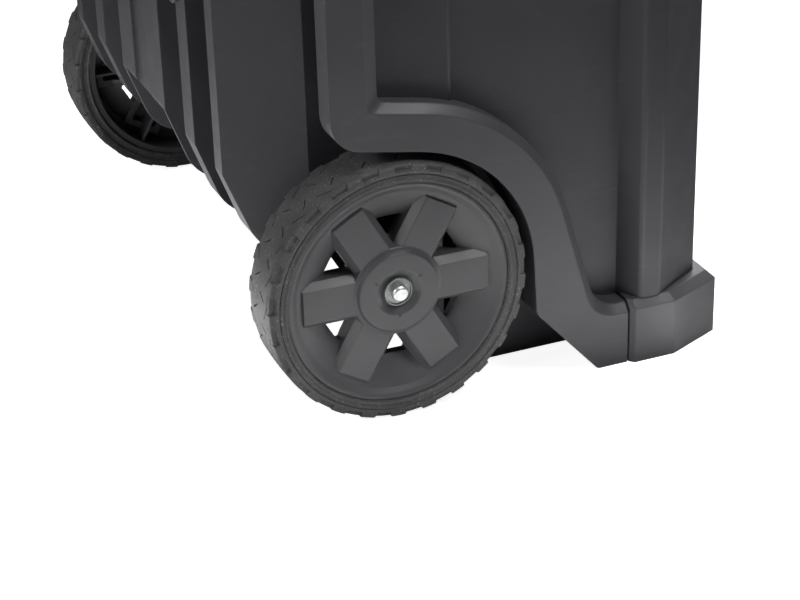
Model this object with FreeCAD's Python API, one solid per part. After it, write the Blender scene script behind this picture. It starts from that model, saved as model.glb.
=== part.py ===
# Rolling jobsite storage box: a moulded tub on two 8 inch wheels, with a hinged lid and a pull handle.
# Millimetres. X runs across the box, the front faces -Y and Z is up.
# The origin is on the ground, under the middle of the whole box.
import FreeCAD, Part
import math
import os

# --- Overall sizes -------------------------------------------------------------------------------
overall_depth = 396.0        # front of the latches to the back of the pull handle
rim_height = 560.0
lid_height = 40.0            # rim to the top of the lid
wheels_overall = 568.0       # over the outer faces of both wheels

# --- Wheels and axle -----------------------------------------------------------------------------
wheel_diameter = 203.2
wheel_width = 48.0
tyre_section = 14.7          # radial thickness of the rubber
tyre_shoulder = 9.0          # rounding of the tread's edges
shoulder_notches = 25
notch_length = 15.0
notch_depth = 3.4
notch_reach = 3.0            # how far a notch goes in from the tyre's side
hub_rim_thickness = 5.0
hub_web_depth = 22.0         # wheel's outer face to the web between the spokes
hub_web_thickness = 5.0
hub_dish_radius = 50.0       # where the web starts to rise to the rim
hub_dish_round = 20.0
hub_dish_rim = 4.0           # rim's edge to the top of the dish
hub_disc_radius = 31.0
hub_disc_depth = 4.0
hub_collar = 4.0             # sloped ring round the hub disc
disc_recess_rim = 18.0       # sloped recess in the hub disc, which holds the axle cap
disc_recess_radius = 12.0
disc_recess_depth = 3.5
pip_count = 3
pip_circle = 19.8            # small raised marks on the hub disc
pip_radius = 1.0
pip_height = 0.5
hub_barrel_radius = 16.0
hub_barrel_length = 49.0     # past the tyre's inner face, so that the tyre clears the wheel well
rim_lip_depth = 3.0
spoke_count = 6
spoke_reach = 73.0
spoke_width = 26.0
spoke_chamfer = 5.0          # slanted edge along both sides of a spoke's flat top
spoke_chamfer_depth = 6.0
spoke_end_slope = 2.0
spoke_skin = 4.0             # over the hollow behind each spoke
spoke_top_depth = 7.5        # wheel's outer face to the spokes' flat tops
spoke_rib_half = 1.2
opening_reach = 56.0
axle_diameter = 12.7
axle_end_round = 2.5
axle_to_back = 102.0         # axle's centre line to the faces of the back ribs
cap_radius = 11.0
cap_rim = 1.2
cap_plate = 1.0
cap_height = 2.2
tread_crown = 10.0           # how far in from each face the tread's flat middle starts

# --- Clearances ----------------------------------------------------------------------------------
running_gap = 0.08           # round running fits
seat_gap = 0.3               # between pieces that only lie close
slide_gap = 0.4              # between nested handle tubes
lid_gap = 0.6                # between the rim and the lid

# --- Tub -----------------------------------------------------------------------------------------
wall = 4.0
rim_flange = 12.0
rim_overhang = 6.0
rim_setback = 3.0            # rim's and lid's ends inside the wheels' outer faces
rim_ledge = 10.0             # back of the opening, ahead of the lid's back edge
ground_clearance = 2.0
handle_stand_off = 10.0      # pull handle behind the back ribs
latch_stand_off = 22.0       # latches in front of the front wall
wheel_inner_gap = 5.0        # tyre to the wall of the wheel well
back_corner_x = 196.5        # where the flat back meets the slanted corners
back_corner_setback = 54.5   # depth of the slanted back corners
knee_height = 181.0          # where the upright back turns in under the box
knee_round = 8.0
heel_angle = 42.0            # lean of the sloping underside, from vertical
rib_angle = 20.0             # lean of the ribs below the knee
rib_foot_round = 36.0
fin_thickness = 3.5          # webs under the slope, beside the inner grooves
step_ahead = 56.0            # front chamber's back wall, ahead of the axle
axle_cover = 12.0            # axle surface to the floor over it
hanger_pitch = 57.0          # webs that carry the axle under the floor
hanger_count = 7
hanger_half_length = 34.0
hanger_drop = 16.0           # axle's centre to the hangers' underside
rib_groove_depth = 15.0
inner_groove = (57.5, 109.0)     # from and to, either side of the middle: holds a handle tube
outer_groove = (132.0, 180.0)
groove_drop = 32.0           # rim to the outer grooves' tops
channel_half_width = 21.0
channel_depth = 3.0
rib_hollow_drop = 62.0       # rim to the tops of the hollows inside the back ribs
pillar_corner_x = 250.5      # front corner, where the slanted face meets the front
pillar_face_back = 62.0      # pillar's flat side, back end, behind the front wall
pillar_face_front = 45.0
pillar_back = 73.0
pillar_setback = 6.0         # pillar's flat side inside the wheels' outer faces
front_panel_half_width = 196.0
front_panel_bottom = 96.0
front_panel_drop = 60.0      # rim to the front panel's top
front_panel_depth = 3.0
front_panel_corner = 20.0
front_panel_margin = 24.0    # panel's edge to the ends of its ribs
front_rib_width = 18.0
front_rib_pitch = 76.0
front_rib_count = 5

# --- End frames, with the wheel arch, and foot caps ----------------------------------------------
frame_setback = 4.0          # frame's face inside the wheels' outer faces
panel_recess = 22.0          # frame's face to the end panel
slot_depth = 24.0            # frame's back edge to the end bulge's back wall
pad_height = 5.0
pad_front = 53.0             # ahead of the axle
pad_drop = 130.0             # rim to the pad's top
arch_gap = 7.2               # tyre to the wheel arch
arch_slope = 10.5
arch_lean = 3.0
leg_knee_height = 58.3
leg_foot_gap = 25.7          # pillar's back to where the leg meets the ground
band_rear = 47.5             # frame's back edge, behind the axle
band_rear_width = 26.5
band_rear_chamfer = 11.0
band_corner = 25.0
band_width = 28.2
band_chamfer = 6.7
band_chamfer_depth = 6.0
window_lean = 15.8
window_corner = 8.0
window_overlap = 30.0        # how far the window's outline runs on behind the pillar
foot_height = 50.0
foot_fillet = 25.0
frame_rail = 28.0
foot_setback = 0.5           # foot cap's face inside the wheels' outer faces
foot_front_reach = 14.0      # foot cap ahead of the front wall
foot_side_length = 34.0
foot_corner_x = 262.0
foot_inner_x = 190.0
foot_depth = 40.0            # how far the cap reaches in behind the frame's face
foot_chamfer = 6.0
seam_gap = 1.2

# --- Lid and hinge -------------------------------------------------------------------------------
lid_back_setback = 48.0      # back ribs' faces to the lid's back edge
lid_corner_back = 10.0
lid_crown = 8.0              # slanted edge round the lid's top
lid_wall = 4.0
lid_recess_depth = 4.0
lid_recess_half_width = 200.0
lid_recess_front = 52.0      # lid's front edge to the recess
lid_recess_back = 40.0
lid_recess_corner = 18.0
lid_recess_margin = 16.0     # recess's edge to the ends of its ribs
lid_rib_pitch = 50.0
lid_rib_width = 14.0
seal_width = 5.0
hinge_behind_lid = 12.0
hinge_rise = 22.0            # hinge axis above the rim
hinge_radius = 11.0
hinge_pin_diameter = 6.0
hinge_x = 150.0
hinge_knuckle = 32.0
hinge_ear = 13.0

# --- Latches and padlock hasp ---------------------------------------------------------------------
latch_x = 170.0
latch_width = 52.0
latch_pivot_rise = 26.0      # pivot above the rim
latch_pivot_out = 8.8        # pivot in front of the lid's face
latch_knuckle = 7.0
latch_pin_diameter = 5.0
latch_drop = 52.0            # rim to the latch's lower edge
latch_lug = 6.0
latch_field_margin = 9.0     # sunk field in the latch's face: from its sides, foot and pivot
latch_field_foot = 14.0
latch_field_head = 22.0
latch_field_depth = 1.5
strike_thickness = 2.0
strike_width = 56.0
hook_reach = 11.9            # hook's tip behind the latch's pivot
hasp_width = 34.0
hasp_thickness = 3.0
hasp_leg = 18.0              # height of the leg that lies on the rim or the lid
hasp_reach = 16.0            # ears in front of the rim and the lid
hasp_hole_radius = 5.0
hasp_hole_setback = 8.0      # hole's centre behind the ears' front edge

# --- End carry handles ---------------------------------------------------------------------------
bail_margin = 18.7           # window's edge to the end of a bracket's plate
bail_drop = 45.0
bail_diameter = 14.0
bail_corner = 16.0
bail_below_rim = 60.0
bail_stand_off = 9.5
bail_knuckle_radius = 8.5
bail_knuckle_length = 17.0
bail_pin_diameter = 6.0
bracket_ear = 5.0
bracket_plate = 2.0
bracket_plate_below = 12.0   # bracket's plate below and above the pivot
bracket_plate_above = 16.0
bracket_plate_corner = 4.0
bracket_plate_end = 3.0      # screw heads to the plate's ends
bracket_screw_rise = 2.0
bracket_screw_gap = 1.0      # ear to a screw's head
screw_head_radius = 4.5
screw_head_height = 2.5
screw_shank_radius = 2.2
screw_bite = 3.5             # how far a screw goes into the tub

# --- Telescopic pull handle ----------------------------------------------------------------------
outer_tube = (26.0, 14.0)    # width and thickness
outer_tube_wall = 1.2
inner_tube_wall = 1.0
tube_corner = 4.0
tube_bottom = 292.0
tube_below_rim = 8.0
bush_height = 6.0
tube_step_up = 6.0           # each inner tube starts this much higher
shoe_height = 18.0
collar_drop = 48.0           # rim to the collar's lower edge
collar_height = 34.0
bracket_skin = 4.0
bracket_overlap = 10.0
finger_pocket_half_width = 50.0
finger_pocket_depth = 30.0
grip_rise = 14.0             # rim to the grip's underside
grip_height = 20.0
grip_end = 15.0              # grip past the tubes' centres
button_length = 44.0
button_width = 12.0
button_stand = 3.0
button_depth = 12.0

# --- Positions that follow ------------------------------------------------------------------------
wheel_radius = wheel_diameter / 2
axle_radius = axle_diameter / 2
back_y = overall_depth / 2 - handle_stand_off
front_y = -overall_depth / 2 + latch_stand_off
axle_y = back_y - axle_to_back
axle_z = wheel_radius
wheel_face_x = wheels_overall / 2
well_x = wheel_face_x - wheel_width - wheel_inner_gap
overall_height = rim_height + lid_height
frame_x = wheel_face_x - frame_setback
panel_x = frame_x - panel_recess
pillar_x = wheel_face_x - pillar_setback
foot_x = wheel_face_x - foot_setback
rim_x = wheel_face_x - rim_setback
pillar_back_y = front_y + pillar_back
arch_radius = wheel_radius + arch_gap
band_rear_y = axle_y + band_rear
step_y = axle_y - step_ahead
bulge_back_y = band_rear_y - slot_depth
floor_over_axle = axle_z + axle_radius + axle_cover
underside = floor_over_axle - wall
slope_foot_y = back_y - (knee_height - underside) * math.tan(math.radians(heel_angle))
rib_foot_y = back_y - (knee_height - underside) * math.tan(math.radians(rib_angle))
lid_front_y = front_y - rim_overhang
lid_back_y = back_y - lid_back_setback
hinge_y = lid_back_y + hinge_behind_lid
hinge_height = rim_height + hinge_rise
tube_x = (inner_groove[0] + inner_groove[1]) / 2
tube_y = back_y - rib_groove_depth + seat_gap + outer_tube[1] / 2
latch_pivot_y = lid_front_y - latch_pivot_out
latch_pivot_height = rim_height + latch_pivot_rise
latch_bottom = rim_height - latch_drop
hasp_hole_y = lid_front_y - hasp_reach + hasp_hole_setback
bail_x = panel_x + bail_stand_off
bail_pivot_height = rim_height - bail_below_rim
window_rear_y = band_rear_y - band_rear_width - band_rear_chamfer
bail_y = (pillar_back_y + window_rear_y) / 2
bracket_half = bail_knuckle_length / 2 + seat_gap + bracket_ear
bracket_plate_half = bracket_half + 2 * screw_head_radius + bracket_plate_end
bail_half_span = (window_rear_y - pillar_back_y) / 2 - bail_margin - bracket_plate_half
outer_tube_top = rim_height - tube_below_rim
collar_bottom = rim_height - collar_drop
grip_bottom = rim_height + grip_rise
seam_y = pillar_back_y - seam_gap

NORMALS = {"xy": (0, 0, 1), "yz": (1, 0, 0), "xz": (0, 1, 0)}


# --- Drawing helpers ------------------------------------------------------------------------------
def at(plane, a, b, level):
    """A point given by its two coordinates in a plane and the plane's level."""
    if plane == "xy":
        return FreeCAD.Vector(a, b, level)
    if plane == "yz":
        return FreeCAD.Vector(level, a, b)
    return FreeCAD.Vector(a, level, b)


def outline(corners, plane, level):
    """A closed wire through corners (a, b) or (a, b, radius): a radius gives a tangent arc."""
    count = len(corners)
    ends = []
    arcs = []
    for i, corner in enumerate(corners):
        here = at(plane, corner[0], corner[1], level)
        radius = corner[2] if len(corner) > 2 else 0.0
        before = at(plane, corners[i - 1][0], corners[i - 1][1], level) - here
        after = at(plane, corners[(i + 1) % count][0], corners[(i + 1) % count][1], level) - here
        before.normalize()
        after.normalize()
        if radius == 0:
            ends.append((here, here))
            arcs.append(None)
            continue
        half = before.getAngle(after) / 2
        along = radius / math.tan(half)
        middle = before + after
        middle.normalize()
        apex = here + middle * (radius / math.sin(half) - radius)
        ends.append((here + before * along, here + after * along))
        arcs.append(apex)
    edges = []
    for i in range(count):
        start, stop = ends[i]
        if arcs[i] is not None:
            edges.append(Part.Arc(start, arcs[i], stop).toShape())
        following = ends[(i + 1) % count][0]
        if (following - stop).Length > 1e-6:
            edges.append(Part.LineSegment(stop, following).toShape())
    return Part.Wire(edges)


def slab(corners, plane, start, stop):
    """A straight solid on an outline, from one level of its plane to another."""
    face = Part.Face(outline(corners, plane, start))
    return face.extrude(FreeCAD.Vector(*NORMALS[plane]) * (stop - start))


def tapered(corners, other_corners, plane, start, stop):
    """A solid that changes from one outline to another between two levels."""
    wires = [outline(corners, plane, start), outline(other_corners, plane, stop)]
    return Part.makeLoft(wires, True, True)


def block(x, y, z):
    """A box from its ranges along X, Y and Z."""
    corner = FreeCAD.Vector(x[0], y[0], z[0])
    return Part.makeBox(x[1] - x[0], y[1] - y[0], z[1] - z[0], corner)


def rod(radius, start, stop):
    """A cylinder between two points."""
    axis = FreeCAD.Vector(*stop) - FreeCAD.Vector(*start)
    return Part.makeCylinder(radius, axis.Length, FreeCAD.Vector(*start), axis)


def ring(outer, inner, start, stop):
    return rod(outer, start, stop).cut(rod(inner, start, stop))


def shrunk(corners, plane, level, amount):
    """The face on an outline, moved inwards by an amount."""
    return Part.Face(outline(corners, plane, level)).makeOffset2D(-amount)


def rectangle(a, b, radius=0.0):
    return [(a[0], b[0], radius), (a[1], b[0], radius), (a[1], b[1], radius), (a[0], b[1], radius)]


def mirrored(shape):
    return shape.mirror(FreeCAD.Vector(0, 0, 0), FreeCAD.Vector(1, 0, 0))


def both(shape):
    return [shape, mirrored(shape)]


def fuse(shapes):
    return shapes[0].multiFuse(shapes[1:]).removeSplitter()


def whole_plan(half):
    """A plan outline that is the same either side of the middle, from its right half, front to back."""
    left = [(-corner[0],) + tuple(corner[1:]) for corner in reversed(half) if corner[0] > 0]
    return [corner for corner in half] + left


def export(name, shape):
    shape.exportStep("parts/" + name + ".step")


def export_pair(name, shape):
    """The right-hand piece as drawn, and its mirror image on the left."""
    export(name + "_right", shape)
    export(name + "_left", mirrored(shape))


# --- Outlines that several pieces share -----------------------------------------------------------
def arch_lines(radius, slope, lean, rear_y, low_z):
    """Corners of a line rising to the back, an arc round the axle and a leg that leans forward."""
    slope = math.radians(slope)
    lean = math.radians(lean)
    top = (axle_y - radius * math.sin(slope), axle_z + radius * math.cos(slope))
    side = (axle_y - radius * math.cos(lean), axle_z + radius * math.sin(lean))
    rise = math.tan(slope)
    drift = math.tan(lean)
    rear = (rear_y, top[1] + (rear_y - top[0]) * rise)
    # the line z = top + (y - top_y) * rise meets the leg y = side_y + (z - side_z) * drift
    meet_z = (top[1] + (side[0] - side[1] * drift - top[0]) * rise) / (1 - drift * rise)
    meet_y = side[0] + (meet_z - side[1]) * drift
    low = (side[0] + (low_z - side[1]) * drift, low_z)
    return rear, (meet_y, meet_z, radius), low


def side_outline(back, front, bottom, top):
    """Side view of an end of the box: back edge, wheel arch, leg and foot."""
    rear, arch, knee = arch_lines(arch_radius, arch_slope, arch_lean, back, leg_knee_height)
    foot_y = pillar_back_y + leg_foot_gap
    slant = (knee[0] - foot_y) / leg_knee_height
    return [(back, top), (rear[0], rear[1], band_corner), arch, (knee[0], knee[1], 10.0),
            (foot_y + bottom * slant, bottom, 5.0), (front, bottom), (front, top)]


def window_outline(inset, rear_inset, top, sill):
    """The opening inside an end frame: its back edge, the edge along the arch and the foot's sill."""
    rear_y = band_rear_y - band_rear_width - rear_inset
    rear, arch, low = arch_lines(arch_radius + band_width + inset, arch_slope, window_lean, rear_y, sill)
    return [(rear[0], top, window_corner), (rear[0], rear[1], window_corner), arch,
            (low[0], low[1], foot_fillet), (pillar_back_y - window_overlap, sill),
            (pillar_back_y - window_overlap, top)]


def window_at_panel():
    rail_bottom = rim_height - rim_flange - frame_rail
    return window_outline(band_chamfer, band_rear_chamfer, rail_bottom, foot_height)


def core_plan():
    return whole_plan([(0, front_y), (well_x, front_y), (well_x, back_y - back_corner_setback),
                       (back_corner_x, back_y), (0, back_y)])


def pillar_plan(inner):
    """Front corner pillar: slanted back, narrow flat side and a wide slanted face to the front."""
    return [(inner, front_y), (pillar_corner_x, front_y, 4.0),
            (pillar_x, front_y + pillar_face_front, 6.0), (pillar_x, front_y + pillar_face_back, 5.0),
            (panel_x, pillar_back_y), (inner, pillar_back_y)]


def rib_spans():
    """From and to across the right-hand half: web, back rib and corner block, which stand on the slope."""
    return [(inner_groove[0] - fin_thickness, inner_groove[0]), (inner_groove[1], outer_groove[0]),
            (outer_groove[1], well_x)]


def below_knee(angle, inset, height):
    """How far back a face that leans in below the knee is at a height, moved inwards by an inset."""
    lean = math.radians(angle)
    return back_y - inset / math.cos(lean) - (knee_height - height) * math.tan(lean)


def knee_at(angle, inset, depth):
    """The height where a leaning face, moved inwards by an inset, meets the back at a depth."""
    lean = math.radians(angle)
    return knee_height - (depth - inset / math.cos(lean)) / math.tan(lean)


def core_body():
    """Outside of the tub between the wheels: front chamber, raised floor, sloping heel and its ribs."""
    profile = [(front_y, ground_clearance, 12.0), (step_y, ground_clearance, 6.0), (step_y, underside),
               (slope_foot_y, underside, 6.0), (back_y, knee_height, knee_round), (back_y, rim_height),
               (front_y, rim_height)]
    lap = wall / 2
    above = knee_height + 2 * knee_round
    rib = [(slope_foot_y - lap, underside), (slope_foot_y - lap, underside + lap), (back_y - lap, above),
           (back_y, above), (back_y, knee_height, knee_round), (rib_foot_y, underside, rib_foot_round)]
    shapes = [slab(profile, "yz", -well_x, well_x)]
    for span in rib_spans():
        shapes += both(slab(rib, "yz", span[0], span[1]))
    return fuse(shapes).common(slab(core_plan(), "xy", ground_clearance, rim_height))


def end_body():
    """Outside of the right-hand end: the bulge over the wheel and the front pillar, up to the rim."""
    top = rim_height - rim_flange
    view = side_outline(bulge_back_y, pillar_back_y, ground_clearance, top)
    pillar = slab(pillar_plan(well_x), "xy", ground_clearance, top)
    return fuse([slab(view, "yz", well_x, panel_x), pillar])


def rib_hollow(angle, depth, foot_round):
    """Side view of the space inside a back rib, a wall's thickness within its outside."""
    inner = back_y - rib_groove_depth - 2 * wall
    face = back_y - depth - wall
    foot = below_knee(angle, wall, floor_over_axle)
    front = slope_foot_y - 3 * wall
    top = rim_height - rib_hollow_drop
    return [(inner, top), (face, top, 4.0), (face, knee_at(angle, wall, depth + wall), 4.0),
            (foot, floor_over_axle, foot_round), (front, floor_over_axle), (front, floor_over_axle + wall)]


def core_cavity():
    """Inside of the core: a straight back behind the grooves, and hollows in the ribs behind it."""
    floor = ground_clearance + wall
    inner_back = back_y - rib_groove_depth - wall
    inner_step = step_y - wall
    ledge_y = lid_back_y - rim_ledge
    ledge_bottom = rim_height - rim_flange
    slope_foot = below_knee(heel_angle, wall, floor_over_axle)
    slope_top = knee_at(heel_angle, wall, rib_groove_depth + wall)
    profile = [(front_y + wall, floor, 10.0), (inner_step, floor, 6.0), (inner_step, floor_over_axle, 5.0),
               (slope_foot, floor_over_axle, 5.0), (inner_back, slope_top, 8.0),
               (inner_back, ledge_bottom, 4.0), (ledge_y, ledge_bottom), (ledge_y, overall_height),
               (front_y + wall, overall_height)]
    half = inner_groove[0] - wall
    shapes = [slab(profile, "yz", -well_x, well_x),
              slab(rib_hollow(heel_angle, channel_depth, 5.0), "yz", -half, half)]
    for span in rib_spans()[1:]:
        view = rib_hollow(rib_angle, 0.0, rib_foot_round - wall)
        shapes += both(slab(view, "yz", span[0] + wall, span[1] - wall))
    plan = shrunk(core_plan(), "xy", floor, wall).extrude(FreeCAD.Vector(0, 0, overall_height))
    return fuse(shapes).common(plan)


def end_cavity():
    """Inside of the right-hand end, open to the core."""
    floor = ground_clearance + wall
    view = side_outline(bulge_back_y, pillar_back_y - 2 * wall, ground_clearance, rim_height + wall)
    bulge = shrunk(view, "yz", well_x - wall, wall).extrude(FreeCAD.Vector(panel_x - well_x, 0, 0))
    pillar = shrunk(pillar_plan(well_x - 3 * wall), "xy", floor, wall)
    return fuse([bulge, pillar.extrude(FreeCAD.Vector(0, 0, rim_height - floor + wall))])


# --- Tub -----------------------------------------------------------------------------------------
def back_grooves():
    """Cutters for the ribbed back: two grooves each side and a shallow channel, which end at the slope."""
    cutters = []
    outer_top = rim_height - groove_drop
    for span, depth, top in ((inner_groove, rib_groove_depth, rim_height + 1),
                             (outer_groove, rib_groove_depth, outer_top),
                             ((-channel_half_width, channel_half_width), channel_depth, outer_top)):
        face = back_y - depth
        profile = [(back_y + 2, top + depth), (face, top, min(8.0, depth - 1)), (face, underside - 1),
                   (back_y + 2, underside - 1)]
        cutter = slab(profile, "yz", span[0], span[1])
        cutters.append(cutter)
        if span[0] > 0:
            cutters.append(mirrored(cutter))
    return cutters


def axle_hangers():
    """Webs under the raised floor that carry the axle: some between the wheels and one at each end."""
    low = axle_z - hanger_drop
    view = [(axle_y - hanger_half_length, underside + 1), (axle_y - hanger_drop, low, 10.0),
            (axle_y + hanger_drop, low, 10.0), (axle_y + hanger_half_length, underside + 1)]
    webs = both(slab(view, "yz", well_x - wall, well_x))
    for i in range(hanger_count):
        middle = (i - (hanger_count - 1) / 2) * hanger_pitch
        webs.append(slab(view, "yz", middle - wall / 2, middle + wall / 2))
    return webs


def rim_plan(side, front, back):
    return whole_plan([(0, front), (pillar_corner_x + 3, front), (side, front + pillar_face_front, 6.0),
                       (side, back - lid_corner_back), (side - lid_corner_back, back), (0, back)])


def hinge_ear_shape(start, stop):
    """A lug that stands on the rim and carries the hinge pin."""
    lug = [(hinge_y - hinge_radius, rim_height - 2), (hinge_y + hinge_radius, rim_height - 2),
           (hinge_y + hinge_radius, hinge_height + hinge_radius, hinge_radius - 0.01),
           (hinge_y - hinge_radius, hinge_height + hinge_radius, hinge_radius - 0.01)]
    return slab(lug, "yz", start, stop)


def hinge_pin_line(radius):
    reach = hinge_knuckle / 2 + seat_gap + hinge_ear
    return rod(radius, (hinge_x - reach, hinge_y, hinge_height), (hinge_x + reach, hinge_y, hinge_height))


def front_panel():
    """Cutter for the shallow front panel, which leaves upright ribs standing in it."""
    width = (-front_panel_half_width, front_panel_half_width)
    top = rim_height - front_panel_drop
    panel = rectangle(width, (front_panel_bottom, top), front_panel_corner)
    recess = slab(panel, "xz", front_y - 1, front_y + front_panel_depth)
    ribs = []
    for i in range(front_rib_count):
        middle = (i - (front_rib_count - 1) / 2) * front_rib_pitch
        half = front_rib_width / 2
        ribs.append(block((middle - half, middle + half), (front_y - 1, front_y + front_panel_depth),
                          (front_panel_bottom + front_panel_margin, top - front_panel_margin)))
    return recess.cut(ribs)


def end_pad():
    """The raised field of an end panel, between the frame's back band and the middle of the panel."""
    edge_y = axle_y - pad_front
    rear_y = band_rear_y - band_rear_width
    plan = [(panel_x - 1, edge_y), (panel_x + pad_height, edge_y, 4.0), (panel_x + pad_height, rear_y),
            (panel_x - 1, rear_y)]
    pad = slab(plan, "xy", foot_height, rim_height - pad_drop)
    return pad.common(slab(window_at_panel(), "yz", panel_x - 1, frame_x))


def tub():
    """Middle of the tub, with the rim all round it and the ears of the lid's hinges."""
    flange = slab(rim_plan(rim_x, lid_front_y, lid_back_y), "xy", rim_height - rim_flange, rim_height)
    ears = []
    for side in (-1, 1):
        start = hinge_x + side * (hinge_knuckle / 2 + seat_gap)
        ears += both(hinge_ear_shape(start, start + side * hinge_ear))
    body = fuse([core_body(), flange] + ears + axle_hangers())
    cutters = [core_cavity(), front_panel()] + both(end_cavity()) + back_grooves()
    cutters += both(hinge_pin_line(hinge_pin_diameter / 2 + running_gap))
    cutters.append(rod(axle_radius + seat_gap / 2, (-well_x, axle_y, axle_z), (well_x, axle_y, axle_z)))
    for point in handle_screw_points():
        cutters.append(screw_shank(point, (0, -1, 0), bracket_skin))
    half = finger_pocket_half_width
    pocket = rectangle((-half, half), (rim_height - finger_pocket_depth, rim_height + 10), 8.0)
    cutters.append(slab(pocket, "xz", back_y - rib_groove_depth, back_y + 1))
    return body.cut(cutters)


def tub_end():
    """End of the tub: a bulge over the wheel, whose open side joins the middle, and the front pillar."""
    body = fuse([end_body(), end_pad()])
    holes = bail_screw_holes(-1) + bail_screw_holes(1)
    return body.cut([end_cavity()] + holes)


# --- End frame and foot ---------------------------------------------------------------------------
def end_frame():
    """Moulded band round the end panel: back band, wheel arch, leg and foot, and the rail under the rim."""
    top = rim_height - rim_flange
    frame = slab(side_outline(band_rear_y, pillar_back_y, 0.0, top), "yz", panel_x, frame_x)
    rail_bottom = top - frame_rail
    face = window_outline(0.0, 0.0, rail_bottom + band_chamfer, foot_height - band_chamfer)
    inner = window_outline(band_chamfer, band_rear_chamfer, rail_bottom, foot_height)
    chamfer = tapered(inner, face, "yz", frame_x - band_chamfer_depth, frame_x)
    through = slab(inner, "yz", panel_x - 1, frame_x - band_chamfer_depth)
    return frame.cut([chamfer, through])


def foot_cap():
    """Front corner foot: it wraps the pillar's base and stands proud of the frame's foot at the seam."""
    side_front = front_y + foot_side_length
    front = front_y - foot_front_reach

    def plan(inset):
        return [(frame_x - foot_depth, seam_y), (frame_x - inset, seam_y),
                (foot_x - inset, seam_y - 3.5, 2.0), (foot_x - inset, side_front + inset / 2, 2.0),
                (foot_corner_x - inset, front + inset, 3.0),
                (foot_inner_x, front + inset, 3.0), (foot_inner_x - foot_front_reach, front_y + 1),
                (foot_inner_x - foot_front_reach, front_y + 12)]

    top = foot_height + 2
    lower = slab(plan(0.0), "xy", 0.0, top - foot_chamfer)
    upper = tapered(plan(0.0), plan(foot_chamfer), "xy", top - foot_chamfer, top)
    return fuse([lower, upper]).cut([core_body(), end_body()])


# --- Wheels and axle ------------------------------------------------------------------------------
def turned(section):
    """A solid turned round the axle from (depth, radius) or (depth, radius, rounding) points."""
    corners = [(wheel_face_x - point[0], axle_y + point[1]) + tuple(point[2:]) for point in section]
    face = Part.Face(outline(corners, "xy", axle_z))
    return face.revolve(FreeCAD.Vector(0, axle_y, axle_z), FreeCAD.Vector(1, 0, 0), 360)


def round_wheel(shape, count, start=0.0):
    """Copies of a shape spaced evenly round the axle."""
    copies = []
    for i in range(count):
        copy = shape.copy()
        copy.rotate(FreeCAD.Vector(0, axle_y, axle_z), FreeCAD.Vector(1, 0, 0), start + i * 360.0 / count)
        copies.append(copy)
    return copies


def hub():
    """Moulded wheel: a dished web, flat spokes with slanted edges and hollow backs, and a hub disc."""
    seat = wheel_radius - tyre_section - seat_gap
    rim_inner = seat - hub_rim_thickness
    rim_back = wheel_width - rim_lip_depth
    web_back = hub_web_depth + hub_web_thickness
    dish_top = rim_lip_depth + hub_dish_rim
    dish_back = dish_top + hub_web_thickness + 2
    collar = hub_disc_radius + hub_collar
    recess = hub_disc_depth + disc_recess_depth
    bore = axle_radius + running_gap
    rim = [(rim_lip_depth + 1, rim_inner + 1, 1.0), (rim_lip_depth, rim_inner + 3), (rim_lip_depth, seat),
           (rim_back, seat), (rim_back, rim_inner), (dish_back, rim_inner, 4.0)]
    behind = [(web_back, hub_dish_radius + 3, hub_dish_round), (web_back, hub_barrel_radius, 3.0),
              (hub_barrel_length, hub_barrel_radius), (hub_barrel_length, bore)]
    disc = [(recess, bore), (recess, disc_recess_radius), (hub_disc_depth, disc_recess_rim, 2.0),
            (hub_disc_depth, hub_disc_radius, 1.5), (spoke_top_depth - 1, hub_disc_radius + 1),
            (spoke_top_depth, collar, 1.0)]
    dish = [(hub_web_depth, collar + 2), (hub_web_depth, hub_dish_radius, hub_dish_round),
            (dish_top, rim_inner - 3, 3.0)]
    body = turned(rim + behind + disc + dish)
    spokes = round_wheel(hub_spoke(), spoke_count)
    pip = rod(pip_radius, (wheel_face_x - hub_disc_depth - 1, axle_y, axle_z + pip_circle),
              (wheel_face_x - hub_disc_depth + pip_height, axle_y, axle_z + pip_circle))
    pips = round_wheel(pip, pip_count, 180.0 / pip_count)
    start = hub_barrel_radius - 1
    rib_view = [(rim_back - 6, start), (web_back - 1, start), (web_back - 1, hub_dish_radius),
                (dish_back - 1, rim_inner + 1), (rim_back - 6, rim_inner + 1)]
    rib = slab([(wheel_face_x - depth, axle_y + radius) for depth, radius in rib_view], "xy",
               axle_z - spoke_rib_half, axle_z + spoke_rib_half)
    solid = fuse([body] + spokes + pips).cut(round_wheel(spoke_hollow(), spoke_count))
    solid = fuse([solid] + round_wheel(rib, spoke_count))
    bore_cut = rod(bore, (well_x, axle_y, axle_z), (wheel_face_x + 1, axle_y, axle_z))
    return solid.cut(round_wheel(hub_opening(), spoke_count, 180.0 / spoke_count) + [bore_cut])


def spoke_outline(start, reach, half):
    """Face view of a spoke that lies along Y from the axle."""
    return rectangle((axle_y + start, axle_y + reach), (axle_z - half, axle_z + half))


def hub_spoke():
    """One spoke: upright sides from the web up, then a slanted edge to the flat top."""
    half = spoke_width / 2
    wide = spoke_outline(hub_barrel_radius, spoke_reach + spoke_end_slope, half + spoke_chamfer)
    top = spoke_outline(hub_barrel_radius, spoke_reach, half)
    edge = wheel_face_x - spoke_top_depth - spoke_chamfer_depth
    stem = slab(wide, "yz", wheel_face_x - hub_web_depth - 1, edge)
    return fuse([stem, tapered(wide, top, "yz", edge, wheel_face_x - spoke_top_depth)])


def spoke_hollow():
    """Cutter for the open back of a spoke, which leaves a skin under its flat top."""
    outline_inside = spoke_outline(hub_barrel_radius + 3 * spoke_skin, spoke_reach - spoke_skin,
                                   spoke_width / 2 - 1)
    back = hub_web_depth + hub_web_thickness + 1
    return slab(outline_inside, "yz", wheel_face_x - back, wheel_face_x - spoke_top_depth - spoke_skin)


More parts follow.
